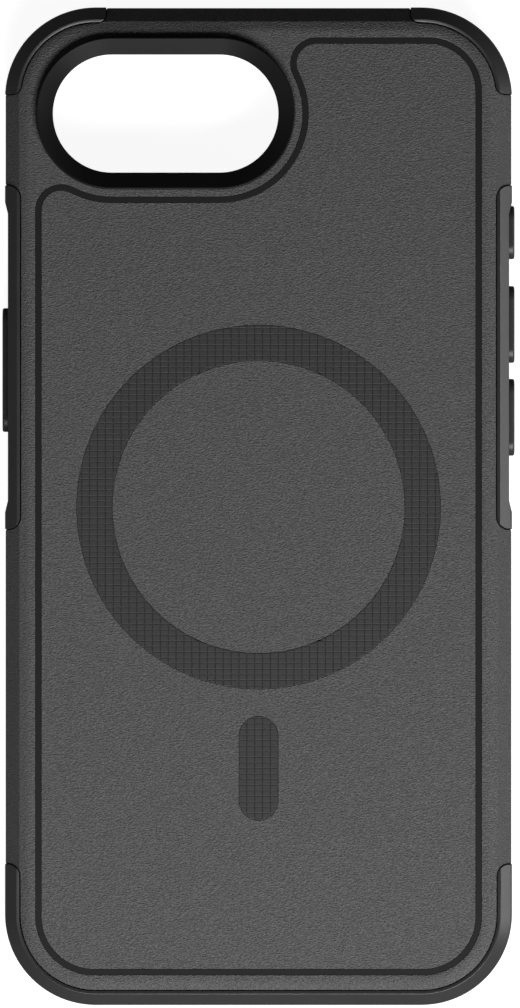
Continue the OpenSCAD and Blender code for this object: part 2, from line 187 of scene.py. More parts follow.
class TrimSizes(bpy.types.PropertyGroup):
    """Sizes of the bezel, the inlays and the buttons."""

    bezel_flange: length("Bezel flange", "Width of the bezel's flange over the shell", 0.35)
    bezel_rim: length("Bezel rim", "Width of the bezel's top rim", 0.15)
    bezel_chamfer: length("Bezel chamfer", "Chamfer outside the bezel's rim", 0.15)
    bezel_wall: length("Bezel wall", "Width of the bezel's ring", 2.62)
    bezel_foot_round: length("Bezel foot round", "Radius of the bezel's edges in the opening", 0.1)
    bezel_neck_round: length("Bezel neck round", "Radius under the bezel's flange", 0.05)
    bezel_flange_round: length("Bezel flange round", "Radius of the flange's edge", 0.08)
    bezel_top_round: length("Bezel top round", "Radius of the edges of the chamfer", 0.15)
    bezel_slope_round: length("Bezel slope round", "Radius where the rim meets the inner slope", 0.3)
    bezel_inner: length("Bezel inner drop", "Depth of the bezel's inner edge under the back", 0.25)
    opening_margin: length("Opening margin", "How far the tub's opening stands back from the bezel's", 0.2)
    line_width: length("Line width", "Width of the contour line", 0.95)
    line_gap: length("Line gap", "Distance from the bezel to the contour line's middle", 1.54)
    line_turn: length("Line turn", "Radius where the line turns round the camera", 3.5)
    line_bottom: length("Line bottom corner", "Radius of the line's bottom corners", 8.5)
    line_soft: length("Line edge", "Bevel on the contour line's edges", 0.05)
    line_top: length("Line top corner", "Radius of the line's top corner", 7.75)
    inlay_depth: length("Inlay depth", "Depth of the grooves that hold the inlays", 0.25)
    inlay_fit: length("Inlay fit", "Gap round an inlay", 0.02)
    grid_x: length("Grid pitch across", "Width of a cell of the grid", 1.203)
    grid_y: length("Grid pitch along", "Length of a cell of the grid", 0.855)
    grid_line: length("Grid line", "Half the width of a line of the grid", 0.09)
    grid_depth: length("Grid depth", "Depth of the grid's lines", 0.04)
    ring_width: length("Ring width", "Width of the ring mark", 5.46)
    key_round: length("Key round", "Rounding of a button's outer edge", 0.38)
    key_foot: length("Key foot", "Bevel on a button's inner edge", 0.1)
    nub_round: length("Nub round", "Rounding of a nub's inner edge", 0.25)
    web_thickness: length("Web thickness", "Thickness of the flexible web", 0.25)
    web_dome: length("Web dome", "How far the web's middle stands out from its rim", 0.35)
    web_margin: length("Web margin", "Width of the web's flat middle round the nub", 0.1)
    web_hem: length("Web hem", "Width of the web's flat rim in the slot", 0.25)
    web_round: length("Web round", "Radius of the web's bends", 0.3)
    slot_out: length("Slot outwards", "How far a slot's cut runs out from the outline", 2.0)
    slot_in: length("Slot inwards", "How far a slot's cut runs in from the outline", 4.0)
    slot_fit: length("Slot fit", "Gap between a button and its slot", 0.15)
    port_width: length("Port width", "Width of the charging port's opening", 13.0)
    port_cut: length("Port cut", "Length of the cut that makes a port or a sound opening", 5.0)
    port_height: length("Port height", "Height of the charging port's opening", 6.0)
    sound_x: length("Sound place", "Distance from the middle to a sound opening", 16.0)
    sound_width: length("Sound width", "Width of a sound opening", 12.0)
    sound_height: length("Sound height", "Height of a sound opening", 3.0)


class CaseColours(bpy.types.PropertyGroup):
    """Base colours of the finishes."""

    shell: colour("Shell", "Sand-grained hard plastic", (0.045, 0.045, 0.0455))
    # Lighter colour on the tops of the shell's grain: partly the grain's own tone, partly a painted
    # highlight.
    shell_grain_highlight: colour("Shell grain", "Tops of the shell's grain", (0.090, 0.090, 0.0905))
    tub: colour("Tub", "Smooth soft plastic", (0.024, 0.024, 0.0243))
    bezel: colour("Bezel", "Satin black plastic", (0.009, 0.009, 0.009))
    line: colour("Contour line", "Flat dark inlay", (0.011, 0.011, 0.0112))
    film: colour("Grid film", "Film of the magnet marks", (0.0295, 0.0295, 0.0298))
    # Darker colour of the grid's recessed lines: painted shade in the grooves.
    film_line_shade: colour("Grid lines", "Lines between the film's tiles", (0.018, 0.018, 0.018))
    keys: colour("Buttons", "Button caps", (0.028, 0.028, 0.0285))
    magnets: colour("Magnets", "Nickel plating", (0.66, 0.65, 0.62))
    adhesive: colour("Adhesive", "Clear adhesive film", (0.62, 0.55, 0.36))
    floor: colour("Floor", "Pale floor", (0.4, 0.4, 0.4))
    floor_bounce: colour("Floor bounce", "Floor as the case sees it", (0.2, 0.2, 0.2))
    floor_glow: colour("Floor glow", "Light of the floor as the camera sees it", (0.93, 0.93, 0.93))


class StageSettings(bpy.types.PropertyGroup):
    """Camera and light."""

    lens: FloatProperty(name="Lens", description="Focal length in millimetres", default=600.0, min=35.0)
    view_height: length("View height", "Height that the camera sees at the case", 154.48)
    view_side: length("View side", "Camera's offset to the right of the case's middle", 0.23)
    view_up: length("View up", "Camera's offset towards the top of the case", 0.345)
    floor_size: length("Floor size", "Length of the floor's side", 6000.0)
    front_power: FloatProperty(name="Front light", description="Power of the light over the case's foot",
                               default=3.95, min=0.0, unit="POWER")
    side_power: FloatProperty(name="Side light", description="Power of the low strip on the right",
                              default=3.6, min=0.0, unit="POWER")
    left_power: FloatProperty(name="Left light", description="Power of the weak light on the left",
                              default=0.6, min=0.0, unit="POWER")
    back_power: FloatProperty(name="Back light", description="Power of the weak light past the case's head",
                              default=0.1, min=0.0, unit="POWER")
    sky: FloatProperty(name="Sky", description="Strength of the light from all round",
                       default=0.012, min=0.0)
    backdrop: FloatProperty(name="Backdrop", description="Brightness beyond the floor as the camera sees it",
                            default=0.94, min=0.0)


class CaseSettings(bpy.types.PropertyGroup):
    """All settings of the case."""

    sizes: PointerProperty(type=CaseSizes)
    bumpers: PointerProperty(type=BumperSizes)
    trim: PointerProperty(type=TrimSizes)
    colours: PointerProperty(type=CaseColours)
    stage: PointerProperty(type=StageSettings)


def settings():
    """The scene's settings."""
    return bpy.context.scene.phone_case


# ---------------------------------------------------------------- outlines and sections


def arc(centre, radius, start, end):
    """Points along an arc, in plan, at its two ends and at even angles between them."""
    step = 90 / (ARC_STEPS if radius > SMALL_ARC else SMALL_STEPS)
    low, high = sorted((start, end))
    even = [i * step for i in range(math.floor(low / step), math.ceil(high / step) + 1)]
    angles = [low] + [a for a in even if low + step / 8 < a < high - step / 8] + [high]
    turned = [math.radians(a) for a in (angles if start < end else reversed(angles))]
    return [(centre[0] + radius * math.cos(a), centre[1] + radius * math.sin(a)) for a in turned]


def fillet(points, radii, steps=5):
    """A section's points with each inner corner rounded to its radius."""
    path = [Vector(p) for p in points]
    rounded = [path[0]]
    for before, corner, after, radius in zip(path, path[1:], path[2:], radii):
        inward = (before - corner).normalized()
        outward = (after - corner).normalized()
        turn = math.pi - inward.angle(outward)
        if radius == 0 or turn < STRAIGHT:
            rounded.append(corner)
            continue
        reach = radius * math.tan(turn / 2)
        reach = min(reach, (before - corner).length * SIDE_SHARE, (after - corner).length * SIDE_SHARE)
        start, end = corner + inward * reach, corner + outward * reach
        for i in range(steps + 1):
            t = i / steps
            rounded.append(start * (1 - t) ** 2 + corner * 2 * t * (1 - t) + end * t ** 2)
    rounded.append(path[-1])
    return [tuple(p) for p in rounded]


def facet_angle():
    """Slope of the facet round the back."""
    return math.atan2(settings().sizes.facet_rise, settings().sizes.facet_run)


def facet_height(inset, depth):
    """Height at an inset of a line that lies depth below the facet."""
    sizes = settings().sizes
    foot = BACK_Z - sizes.crease_rise - sizes.facet_rise
    return foot + inset * math.tan(facet_angle()) - depth / math.cos(facet_angle())


def facet_inset(height, depth):
    """Inset at which that line reaches a height."""
    sizes = settings().sizes
    foot = BACK_Z - sizes.crease_rise - sizes.facet_rise
    return (height - foot + depth / math.cos(facet_angle())) / math.tan(facet_angle())


def corner_window(gap):
    """Outline of a corner window, in plan, from the middle of the corner's arc."""
    sizes, bumpers = settings().sizes, settings().bumpers
    inner = sizes.corner_radius - bumpers.corner_inset + gap
    far = sizes.corner_radius + PAST
    end_round = bumpers.corner_end - gap

    def end(reach):
        """Middle of an end's round corner, and the angle at which it meets the inner arc."""
        along = sizes.corner_radius - reach + gap + end_round
        across = math.sqrt((inner + end_round) ** 2 - max(0.0, along) ** 2)
        return along, across, math.degrees(math.atan2(max(0.0, along), across))

    along, across, meet = end(bumpers.corner_down)
    side = arc((across, along), end_round, 270, 180 + meet)
    along_top, across_top, meet_top = end(bumpers.corner_across)
    top = arc((along_top, across_top), end_round, 270 - meet_top, 180)
    middle = arc((0, 0), inner, meet, 90 - meet_top)
    return [(far, side[0][1])] + side + middle[1:-1] + top + [(top[-1][0], far), (far, far)]


def grip_window(gap):
    """Outline of the window on the +X side, in plan."""
    bumpers = settings().bumpers
    r = bumpers.grip_end - gap
    inner = HALF_X - bumpers.grip_inset + gap
    top = HALF_Y - bumpers.grip_down - gap
    bottom = top - bumpers.grip_length + 2 * gap
    far = HALF_X + PAST
    return ([(far, bottom), (far, top)] + arc((inner + r, top - r), r, 90, 180)
            + arc((inner + r, bottom + r), r, 180, 270))


def base_window(gap):
    """Outline of the window round the bottom end, in plan."""
    sizes, bumpers = settings().sizes, settings().bumpers
    r = bumpers.base_end - gap
    inner_x = HALF_X - bumpers.base_inset + gap
    inner_y = HALF_Y - bumpers.base_inset + gap
    radius = sizes.corner_radius - bumpers.base_inset + gap
    top = bumpers.base_up - gap - HALF_Y
    far_x, far_y = HALF_X + PAST, HALF_Y + PAST
    right = arc((inner_x + r, top - r), r, 90, 180)
    corner = arc((inner_x - radius, radius - inner_y), radius, 0, -90)
    half = [(far_x, -far_y), (far_x, top)] + right + corner
    return half + [(-x, y) for x, y in reversed(half)]


def line_outline(grow):
    """Outline of the contour line's middle, grown by an amount."""
    trim = settings().trim
    half_w = trim.line_width / 2
    x = LINE_HIGH.x + trim.inlay_fit - half_w
    y = LINE_HIGH.y + trim.inlay_fit - half_w
    span, near, camera_y, bezel_r = camera()
    far = near + span
    radius = bezel_r + trim.line_gap
    reach = radius + trim.line_turn
    turn_x, turn_y = trim.line_turn - x, y - trim.line_turn
    top = (far + math.sqrt(reach ** 2 - (turn_y - camera_y) ** 2), turn_y)
    left = (turn_x, camera_y - math.sqrt(reach ** 2 - (turn_x - near) ** 2))
    top_angle = math.degrees(math.atan2(top[1] - camera_y, top[0] - far))
    left_angle = math.degrees(math.atan2(left[1] - camera_y, left[0] - near))
    bottom = (x - trim.line_bottom, trim.line_bottom - y)
    return (arc(bottom, trim.line_bottom + grow, -90, 0)
            + arc((x - trim.line_top, y - trim.line_top), trim.line_top + grow, 0, 90)
            + arc(top, trim.line_turn + grow, 90, 180 + top_angle)
            + arc((far, camera_y), radius - grow, top_angle, -90)
            + arc((near, camera_y), radius - grow, -90, left_angle)
            + arc(left, trim.line_turn + grow, 180 + left_angle, 180)
            + arc((-bottom[0], bottom[1]), trim.line_bottom + grow, 180, 270))


def camera():
    """The camera opening's span, near middle, height up the case and the bezel's outer radius."""
    radius = (BEZEL_HIGH.y - BEZEL_LOW.y) / 2
    span = BEZEL_HIGH.x - BEZEL_LOW.x - 2 * radius
    return span, BEZEL_LOW.x + radius, (BEZEL_HIGH.y + BEZEL_LOW.y) / 2, radius


# ---------------------------------------------------------------- mesh tools


def finish_mesh(bm, name):
    """Turns a bmesh into a linked object with its normals outwards."""
    bmesh.ops.remove_doubles(bm, verts=bm.verts, dist=WELD_FINE)
    bmesh.ops.recalc_face_normals(bm, faces=bm.faces)
    mesh = bpy.data.meshes.new(name)
    bm.to_mesh(mesh)
    bm.free()
    piece = bpy.data.objects.new(name, mesh)
    bpy.context.scene.collection.objects.link(piece)
    return piece


def sweep(name, section, moves, ring=False):
    """A closed solid traced by a section's points along straights (x, y) and turns (x, y, degrees)."""
    bm = bmesh.new()
    verts = [bm.verts.new(point) for point in section]
    pairs = list(zip(verts, verts[1:])) + ([(verts[-1], verts[0])] if ring else [])
    edges = [bm.edges.new(pair) for pair in pairs]
    for move in moves:
        if len(move) == 2:
            grown = bmesh.ops.extrude_edge_only(bm, edges=edges)["geom"]
            moved = {v for v in grown if isinstance(v, bmesh.types.BMVert)}
            bmesh.ops.translate(bm, verts=list(moved), vec=(*move, 0))
            edges = [e for e in grown if isinstance(e, bmesh.types.BMEdge) and set(e.verts) <= moved]
        else:
            ends = list({v for e in edges for v in e.verts})
            steps = max(2, math.ceil(abs(move[2]) / 90 * ARC_STEPS))
            turned = bmesh.ops.spin(bm, geom=ends + edges, cent=(move[0], move[1], 0), axis=(0, 0, 1),
                                    angle=math.radians(move[2]), steps=steps)
            edges = [e for e in turned["geom_last"] if isinstance(e, bmesh.types.BMEdge)]
    bmesh.ops.remove_doubles(bm, verts=bm.verts, dist=WELD)
    bmesh.ops.holes_fill(bm, edges=[e for e in bm.edges if e.is_boundary], sides=0)
    return finish_mesh(bm, name)


def sweep_case(name, section):
    """A solid whose side follows a section of inset and height round the case's plan."""
    x, y = HALF_X - settings().sizes.corner_radius, HALF_Y - settings().sizes.corner_radius
    points = [(HALF_X - inset, -y, z) for inset, z in section]
    return sweep(name, points, [(0, 2 * y), (x, y, 90), (-2 * x, 0), (-x, y, 90), (0, -2 * y), (-x, -y, 90),
                                (2 * x, 0), (x, -y, 90)])


def prism(name, outline, low, high):
    """A closed solid over an outline in plan."""
    bm = bmesh.new()
    bm.faces.new([bm.verts.new((x, y, low)) for x, y in outline])
    bmesh.ops.remove_doubles(bm, verts=bm.verts, dist=WELD)
    grown = bmesh.ops.extrude_face_region(bm, geom=list(bm.faces))["geom"]
    top = [v for v in grown if isinstance(v, bmesh.types.BMVert)]
    bmesh.ops.translate(bm, verts=top, vec=(0, 0, high - low))
    return finish_mesh(bm, name)


def slot_solid(name, span, section, ring=False, place=Matrix()):
    """A solid with round ends, its section of radius and height swept round a straight of a length."""
    half = span / 2
    points = [(-half, -radius, height) for radius, height in section]
    if span > 0:
        moves = [(span, 0), (half, 0, 180), (-span, 0), (-half, 0, 180)]
    else:
        moves = [(0, 0, 180), (0, 0, 180)]
    piece = sweep(name, points, moves, ring)
    piece.data.transform(place)
    if place.is_negative:
        piece.data.flip_normals()
    return piece


def carve(piece, tool, operation="DIFFERENCE"):
    """Applies a boolean with a tool solid, which is used up."""
    cut = piece.modifiers.new("Cut", "BOOLEAN")
    cut.operation = operation
    cut.solver = "MANIFOLD"
    cut.object = tool
    shaped = piece.evaluated_get(bpy.context.evaluated_depsgraph_get())
    mesh = bpy.data.meshes.new_from_object(shaped)
    piece.modifiers.clear()
    old, piece.data = piece.data, mesh
    mesh.name = piece.name
    bpy.data.meshes.remove(old)
    spent = tool.data
    bpy.data.objects.remove(tool)
    bpy.data.meshes.remove(spent)
    return piece


def mirrored(outline):
    """An outline turned over to the other side of the case."""
    return [(-x, y) for x, y in reversed(outline)]


def shifted(outline, x, y):
    """An outline moved in plan."""
    return [(px + x, py + y) for px, py in outline]


def round_edges(piece, width, segments, angle=35, only=None):
    """Rounds a piece's convex edges that are sharper than an angle."""
    bm = bmesh.new()
    bm.from_mesh(piece.data)
    bmesh.ops.remove_doubles(bm, verts=bm.verts, dist=WELD_CUT)
    edges = [e for e in bm.edges if len(e.link_faces) == 2 and e.is_convex
             and e.calc_face_angle() > math.radians(angle) and (only is None or only(e))]
    bmesh.ops.bevel(bm, geom=edges, offset=width, offset_type="OFFSET", affect="EDGES",
                    segments=segments, profile=0.5, material=-1)
    for v in bm.verts:
        v.co = [max(low, min(high, c)) for c, low, high in zip(v.co, *CAD_BOX)]
    bm.to_mesh(piece.data)
    bm.free()


def shade(piece, angle=32):
    """Smooth shading with hard edges above an angle, and flats kept flat."""
    piece.data.polygons.foreach_set("use_smooth", [True] * len(piece.data.polygons))
    piece.data.set_sharp_from_angle(angle=math.radians(angle))
    weight = piece.modifiers.new("Flats", "WEIGHTED_NORMAL")
    weight.keep_sharp = True
    weight.weight = 90


def dress(piece, material, body="root"):
    """Gives a piece its material and rides it on its body."""
    piece.data.materials.clear()
    piece.data.materials.append(material)
    if body:
        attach(piece, body)
    return piece


# ---------------------------------------------------------------- materials


def node_group(name, inputs, outputs):
    """A new shader node group with its sockets and end nodes."""
    group = bpy.data.node_groups.new(name, "ShaderNodeTree")
    for label, kind, default in inputs:
        socket = group.interface.new_socket(label, in_out="INPUT", socket_type=kind)
        socket.default_value = default
    for label, kind in outputs:
        group.interface.new_socket(label, in_out="OUTPUT", socket_type=kind)
    return group, group.nodes.new("NodeGroupInput"), group.nodes.new("NodeGroupOutput")


def add(tree, kind, **values):
    """A node with its properties and unlinked inputs set by name."""
    node = tree.nodes.new(kind)
    for key, value in values.items():
        if hasattr(node, key):
            setattr(node, key, value)
        else:
            node.inputs[key.replace("_", " ")].default_value = value
    return node


def link(tree, start, end):
    """Joins two sockets."""
    tree.links.new(start, end)


def grain_group():
    """Sand grain: stretched noise at two scales, as a height and a mask."""
    name = "Sand grain"
    if name in bpy.data.node_groups:
        return bpy.data.node_groups[name]
    tree, source, target = node_group(
        name,
        [("Vector", "NodeSocketVector", (0, 0, 0)), ("Across", "NodeSocketFloat", 2900.0),
         ("Along", "NodeSocketFloat", 4700.0), ("Fineness", "NodeSocketFloat", 1.6),
         ("Fine share", "NodeSocketFloat", 0.35), ("Lowest", "NodeSocketFloat", 0.34),
         ("Highest", "NodeSocketFloat", 0.66)],
        [("Height", "NodeSocketFloat"), ("Mask", "NodeSocketFloat")])
    stretch = add(tree, "ShaderNodeCombineXYZ")
    link(tree, source.outputs["Across"], stretch.inputs["X"])
    link(tree, source.outputs["Along"], stretch.inputs["Y"])
    link(tree, source.outputs["Along"], stretch.inputs["Z"])
    place = add(tree, "ShaderNodeVectorMath", operation="MULTIPLY")
    link(tree, source.outputs["Vector"], place.inputs[0])
    link(tree, stretch.outputs[0], place.inputs[1])
    coarse = add(tree, "ShaderNodeTexNoise", Scale=1.0, Detail=1.0, Roughness=0.5, Distortion=0.1)
    link(tree, place.outputs[0], coarse.inputs["Vector"])
    closer = add(tree, "ShaderNodeVectorMath", operation="SCALE")
    link(tree, place.outputs[0], closer.inputs[0])
    link(tree, source.outputs["Fineness"], closer.inputs["Scale"])
    fine = add(tree, "ShaderNodeTexNoise", Scale=1.0, Detail=1.0, Roughness=0.5)
    link(tree, closer.outputs[0], fine.inputs["Vector"])
    mix = add(tree, "ShaderNodeMix", data_type="FLOAT", clamp_factor=True)
    link(tree, source.outputs["Fine share"], mix.inputs[0])
    link(tree, coarse.outputs["Fac"], mix.inputs[2])
    link(tree, fine.outputs["Fac"], mix.inputs[3])
    spread = add(tree, "ShaderNodeMapRange", clamp=True)
    link(tree, source.outputs["Lowest"], spread.inputs["From Min"])
    link(tree, source.outputs["Highest"], spread.inputs["From Max"])
    link(tree, mix.outputs[0], spread.inputs["Value"])
    link(tree, mix.outputs[0], target.inputs["Height"])
    link(tree, spread.outputs[0], target.inputs["Mask"])
    return tree


def mottle_group():
    """Faint handling marks: broad and fine noise, as a mask and a height."""
    name = "Moulded mottle"
    if name in bpy.data.node_groups:
        return bpy.data.node_groups[name]
    tree, source, target = node_group(
        name,
        [("Vector", "NodeSocketVector", (0, 0, 0)), ("Broad", "NodeSocketFloat", 90.0),
         ("Fine", "NodeSocketFloat", 5200.0)],
        [("Mask", "NodeSocketFloat"), ("Height", "NodeSocketFloat")])
    broad = add(tree, "ShaderNodeTexNoise", Detail=4.0, Roughness=0.6)
    link(tree, source.outputs["Vector"], broad.inputs["Vector"])
    link(tree, source.outputs["Broad"], broad.inputs["Scale"])
    fine = add(tree, "ShaderNodeTexNoise", Detail=2.0, Roughness=0.5)
    link(tree, source.outputs["Vector"], fine.inputs["Vector"])
    link(tree, source.outputs["Fine"], fine.inputs["Scale"])
    link(tree, broad.outputs["Fac"], target.inputs["Mask"])
    link(tree, fine.outputs["Fac"], target.inputs["Height"])
    return tree


def new_material(name, rgb, roughness, **values):
    """A material with a Principled BSDF and object coordinates ready to read."""
    material = bpy.data.materials.new(name)
    material.use_nodes = True
    tree = material.node_tree
    shader = tree.nodes["Principled BSDF"]
    shader.inputs["Base Color"].default_value = (*rgb, 1.0)
    shader.inputs["Roughness"].default_value = roughness
    for key, value in values.items():
        shader.inputs[key.replace("_", " ")].default_value = value
    return material, tree, shader, add(tree, "ShaderNodeTexCoord").outputs["Object"]


def placed(tree, group, coordinates, **values):
    """A node group placed in a material, reading its coordinates."""
    node = tree.nodes.new("ShaderNodeGroup")
    node.node_tree = group
    for key, value in values.items():
        node.inputs[key.replace("_", " ")].default_value = value
    link(tree, coordinates, node.inputs["Vector"])
    return node


def vary(tree, mask, low, high, shader_input):
    """Feeds a socket with a value that runs between two limits over a mask."""
    spread = add(tree, "ShaderNodeMapRange", clamp=True)
    spread.inputs["To Min"].default_value = low
    spread.inputs["To Max"].default_value = high
    link(tree, mask, spread.inputs["Value"])
    link(tree, spread.outputs[0], shader_input)


def tint(tree, mask, dark, light, shader_input):
    """Feeds a colour socket with a mix of two colours over a mask."""
    mix = add(tree, "ShaderNodeMix", data_type="RGBA")
    mix.inputs[6].default_value = (*dark, 1.0)
    mix.inputs[7].default_value = (*light, 1.0)
    link(tree, mask, mix.inputs[0])
    link(tree, mix.outputs[2], shader_input)


def roughen(tree, height, depth, strength, shader):
    """Bump from a height."""
    bump = add(tree, "ShaderNodeBump")
    bump.inputs["Strength"].default_value = strength
    bump.inputs["Distance"].default_value = depth
    link(tree, height, bump.inputs["Height"])
    link(tree, bump.outputs["Normal"], shader.inputs["Normal"])


def scaled(rgb, factor):
    """A colour made lighter or darker."""
    return tuple(min(1.0, c * factor) for c in rgb)


def shell_plastic():
    """Hard plastic with a fine sand grain, coloured lighter on the grain's tops: grain tone with a painted
    highlight.
    """
    colours = settings().colours
    material, tree, shader, coordinates = new_material(
        "Sand-grained shell plastic", colours.shell, 0.62, Specular_IOR_Level=0.35)
    grain = placed(tree, grain_group(), coordinates)
    # Grain tops take the lighter colour: grain tone with a painted highlight on them.
    tint(tree, grain.outputs["Mask"], colours.shell, colours.shell_grain_highlight, shader.inputs["Base Color"])
    vary(tree, grain.outputs["Mask"], 0.72, 0.52, shader.inputs["Roughness"])
    roughen(tree, grain.outputs["Height"], GRAIN_DEPTH, 1.0, shader)
    return material


def satin(name, rgb, roughness, specular):
    """Smooth moulded plastic with faint mottling."""
    material, tree, shader, coordinates = new_material(name, rgb, roughness, Specular_IOR_Level=specular)
    marks = placed(tree, mottle_group(), coordinates)
    tint(tree, marks.outputs["Mask"], scaled(rgb, 0.86), scaled(rgb, 1.14), shader.inputs["Base Color"])
    vary(tree, marks.outputs["Mask"], roughness - 0.07, roughness + 0.07, shader.inputs["Roughness"])
    roughen(tree, marks.outputs["Height"], MOTTLE_DEPTH, 0.35, shader)
    return material


def grid_film():
    """Smooth film whose recessed grid lines are coloured darker than its tiles, as painted shade in the
    grooves.
    """
    colours = settings().colours
    material, tree, shader, coordinates = new_material(
        "Grid film", colours.film, 0.55, Specular_IOR_Level=0.3)
    line = add(tree, "ShaderNodeAttribute")
    line.attribute_name = LINE_LAYER
    # The recessed lines take the darker colour: painted shade in the grooves.
    tint(tree, line.outputs["Fac"], colours.film, colours.film_line_shade, shader.inputs["Base Color"])
    marks = placed(tree, mottle_group(), coordinates)
    vary(tree, marks.outputs["Mask"], 0.48, 0.62, shader.inputs["Roughness"])
    roughen(tree, marks.outputs["Height"], MOTTLE_DEPTH, 0.35, shader)
    return material


def nickel():
    """Nickel-plated magnets with fine tumbling marks."""
    rgb = settings().colours.magnets
    material, tree, shader, coordinates = new_material("Nickel plating", rgb, 0.28, Metallic=1.0)
    marks = placed(tree, mottle_group(), coordinates, Broad=700.0, Fine=6000.0)
    vary(tree, marks.outputs["Mask"], 0.18, 0.42, shader.inputs["Roughness"])
    roughen(tree, marks.outputs["Height"], MOTTLE_DEPTH, 0.3, shader)
    return material


def floor_material():
    """Pale floor that the camera sees brightly, but that throws little light back at the case."""
    colours = settings().colours
    material, tree, shader, coordinates = new_material(
        "Pale floor", colours.floor, 0.8, Specular_IOR_Level=0.1)
    marks = placed(tree, mottle_group(), coordinates, Broad=3.0, Fine=400.0)
    pale = add(tree, "ShaderNodeMix", data_type="RGBA")
    pale.inputs[6].default_value = (*scaled(colours.floor, 0.985), 1.0)
    pale.inputs[7].default_value = (*scaled(colours.floor, 1.015), 1.0)
    link(tree, marks.outputs["Mask"], pale.inputs[0])
    seen = add(tree, "ShaderNodeLightPath").outputs["Is Camera Ray"]
    shown = add(tree, "ShaderNodeMix", data_type="RGBA")
    shown.inputs[6].default_value = (*colours.floor_bounce, 1.0)
    link(tree, seen, shown.inputs[0])
    link(tree, pale.outputs[2], shown.inputs[7])
    link(tree, shown.outputs[2], shader.inputs["Base Color"])
    tint(tree, seen, (0.0, 0.0, 0.0), colours.floor_glow, shader.inputs["Emission Color"])
    shader.inputs["Emission Strength"].default_value = 1.0
    return material


FINISHES = {
    "shell": shell_plastic,
    "tub": lambda: satin("Soft tub plastic", settings().colours.tub, roughness=0.36, specular=0.5),
    "bezel": lambda: satin("Bezel plastic", settings().colours.bezel, roughness=0.45, specular=0.12),
    "line": lambda: satin("Contour line inlay", settings().colours.line, roughness=0.62, specular=0.15),
    "film": grid_film,
    "keys": lambda: satin("Button plastic", settings().colours.keys, roughness=0.4, specular=0.4),
    "magnets": nickel,
    "adhesive": lambda: satin("Clear adhesive", settings().colours.adhesive, roughness=0.5, specular=0.5),
    "floor": floor_material,
}
_made = {}


def finish(name):
    """The material of a finish, made once."""
    if name not in _made:
        _made[name] = FINISHES[name]()
    return _made[name]


# ---------------------------------------------------------------- pieces


def window_prisms(gap, low, high):
    """Solids over all the windows, less a gap."""
    radius = settings().sizes.corner_radius
    corner = shifted(corner_window(gap), HALF_X - radius, HALF_Y - radius)
    grip = grip_window(gap)
    outlines = [("corner", corner), ("corner", mirrored(corner)), ("grip", grip), ("grip", mirrored(grip)),
                ("base", base_window(gap))]
    return [(kind, prism("window", outline, low, high)) for kind, outline in outlines]


class CASE_OT_hard_shell(bpy.types.Operator):
    """Hard back shell with its facet, windows, grooves and magnet recess"""

    bl_idname = "phone_case.hard_shell"
    bl_label = "Hard shell"

    def execute(self, context):
        sizes, trim = settings().sizes, settings().trim
        inner_z = BACK_Z - sizes.shell_back
        side = sizes.shell_side
        rim = SHELL_LOW.z
        foot = BACK_Z - sizes.crease_rise - sizes.facet_rise
        section = [
            (facet_inset(inner_z, side), inner_z), (side, facet_height(side, side)), (side, rim), (0, rim),
            (0, foot), (sizes.facet_run, BACK_Z - sizes.crease_rise),
            (sizes.facet_run + sizes.crease_run, BACK_Z), (sizes.facet_run + 2 * sizes.crease_run, BACK_Z)]
        radii = (sizes.inside_round, sizes.rim_inner_round, sizes.rim_round, sizes.facet_round,
                 sizes.crease_round, sizes.back_round)
        shell = sweep_case("hard_shell_skin", fillet(section, radii))
        for _, window in window_prisms(0, rim - PAST, BACK_Z + PAST):
            carve(shell, window)
        span, near, camera_y, bezel_r = camera()
        neck = bezel_r - trim.bezel_flange + sizes.layer_gap
        camera_middle = Matrix.Translation((near + span / 2, camera_y, 0))
        carve(shell, slot_solid("opening", span, [(neck, inner_z - PAST), (neck, BACK_Z + PAST)],
                                place=camera_middle))
        floor_z = BACK_Z - trim.inlay_depth
        half = trim.line_width / 2
        groove = prism("groove", line_outline(half), floor_z, BACK_Z + PAST)
        carve(groove, prism("core", line_outline(-half), floor_z - PAST, BACK_Z + 2 * PAST))
        carve(shell, groove)
        carve(shell, ring_solid("ring_recess", trim.inlay_fit, floor_z, BACK_Z + PAST))
        carve(shell, bar_solid("bar_recess", trim.inlay_fit, floor_z, BACK_Z + PAST))
        magnet_low, magnet_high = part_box("ring_magnets")
        glue_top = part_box("ring_adhesive")[1].z
        inner = (magnet_high.x - magnet_low.x) / 2
        core = inner - sizes.recess_width
        ring_middle = Matrix.Translation(((magnet_low + magnet_high) / 2).xy.to_3d())
        recess = slot_solid("recess", 0, [(inner + sizes.layer_gap, inner_z - PAST),
                                          (inner + sizes.layer_gap, glue_top)], place=ring_middle)
        carve(recess, slot_solid("core", 0, [(core, inner_z - 2 * PAST), (core, BACK_Z)], place=ring_middle))
        carve(shell, recess)
        round_edges(shell, sizes.edge_round, 2)
        shade(shell)
        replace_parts(dress(shell, finish("shell")), "hard_shell")
        return {"FINISHED"}


def ring_solid(name, grow, low, high):
    """The ring mark's solid, grown by an amount."""
    outer = (RING_HIGH.x - RING_LOW.x) / 2
    inner = outer - settings().trim.ring_width - 2 * grow
    place = Matrix.Translation((0, (RING_HIGH.y + RING_LOW.y) / 2, 0))
    section = [(outer + grow, low), (outer + grow, high), (inner, high), (inner, low)]
    return slot_solid(name, 0, section, ring=True, place=place)


def bar_solid(name, grow, low, high):
    """The bar mark's solid, grown by an amount."""
    radius = (BAR_HIGH.x - BAR_LOW.x) / 2
    span = BAR_HIGH.y - BAR_LOW.y - 2 * radius
    place = (Matrix.Translation((0, (BAR_HIGH.y + BAR_LOW.y) / 2, 0)) @ Matrix.Rotation(math.pi / 2, 4, "Z"))
    return slot_solid(name, span, [(radius + grow, low), (radius + grow, high)], place=place)


